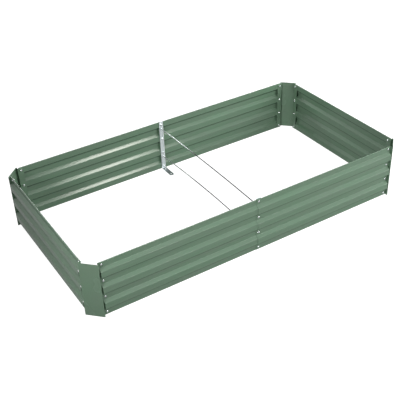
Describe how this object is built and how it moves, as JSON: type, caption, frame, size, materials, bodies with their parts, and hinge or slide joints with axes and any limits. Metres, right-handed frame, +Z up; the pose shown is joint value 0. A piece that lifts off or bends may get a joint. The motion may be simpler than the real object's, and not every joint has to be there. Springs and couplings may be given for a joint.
{
  "type": "raised garden bed",
  "caption": "Bottomless rectangular planter ring of corrugated painted steel wall panels bolted to chamfered corner plates, with a braced, rod-tied middle seam.",
  "frame": {"origin": "on the ground, at the centre of the bed's footprint", "axes": "+X along the long walls, +Y across the bed towards the rear long wall, +Z up"},
  "size_m": [1.8326, 0.9664, 0.304],
  "materials": {
    "wall_paint": "baked sage green paint on corrugated steel sheet, satin gloss",
    "corner_paint": "baked sage green paint on folded flat steel sheet, satin gloss",
    "galvanised_brace": "bright galvanised flat bar",
    "zinc_rod": "zinc plated thin steel rod",
    "zinc_fastener": "bright zinc plated bolts and nuts"
  },
  "bodies": {
    "root": {"wall_panel_front_left": "wall_paint", "wall_panel_front_right": "wall_paint", "wall_panel_rear_left": "wall_paint", "wall_panel_rear_right": "wall_paint", "wall_panel_left": "wall_paint", "wall_panel_right": "wall_paint", "corner_plate_front_left": "corner_paint", "corner_plate_front_right": "corner_paint", "corner_plate_rear_left": "corner_paint", "corner_plate_rear_right": "corner_paint", "brace_front": "galvanised_brace", "brace_rear": "galvanised_brace", "tie_rod_lower": "zinc_rod", "tie_rod_upper": "zinc_rod", "rod_nut_lower_front": "zinc_fastener", "rod_nut_lower_rear": "zinc_fastener", "rod_nut_upper_front": "zinc_fastener", "rod_nut_upper_rear": "zinc_fastener", "bolt_front_left_1": "zinc_fastener", "bolt_front_left_2": "zinc_fastener", "bolt_front_left_3": "zinc_fastener", "bolt_front_left_4": "zinc_fastener", "bolt_front_seam_1": "zinc_fastener", "bolt_front_seam_2": "zinc_fastener", "bolt_front_seam_3": "zinc_fastener", "bolt_front_seam_4": "zinc_fastener", "bolt_front_right_1": "zinc_fastener", "bolt_front_right_2": "zinc_fastener", "bolt_front_right_3": "zinc_fastener", "bolt_front_right_4": "zinc_fastener", "bolt_right_front_1": "zinc_fastener", "bolt_right_front_2": "zinc_fastener", "bolt_right_front_3": "zinc_fastener", "bolt_right_front_4": "zinc_fastener", "bolt_right_rear_1": "zinc_fastener", "bolt_right_rear_2": "zinc_fastener", "bolt_right_rear_3": "zinc_fastener", "bolt_right_rear_4": "zinc_fastener", "bolt_rear_right_1": "zinc_fastener", "bolt_rear_right_2": "zinc_fastener", "bolt_rear_right_3": "zinc_fastener", "bolt_rear_right_4": "zinc_fastener", "bolt_rear_seam_1": "zinc_fastener", "bolt_rear_seam_2": "zinc_fastener", "bolt_rear_seam_3": "zinc_fastener", "bolt_rear_seam_4": "zinc_fastener", "bolt_rear_left_1": "zinc_fastener", "bolt_rear_left_2": "zinc_fastener", "bolt_rear_left_3": "zinc_fastener", "bolt_rear_left_4": "zinc_fastener", "bolt_left_rear_1": "zinc_fastener", "bolt_left_rear_2": "zinc_fastener", "bolt_left_rear_3": "zinc_fastener", "bolt_left_rear_4": "zinc_fastener", "bolt_left_front_1": "zinc_fastener", "bolt_left_front_2": "zinc_fastener", "bolt_left_front_3": "zinc_fastener", "bolt_left_front_4": "zinc_fastener"}
  },
  "joints": []
}
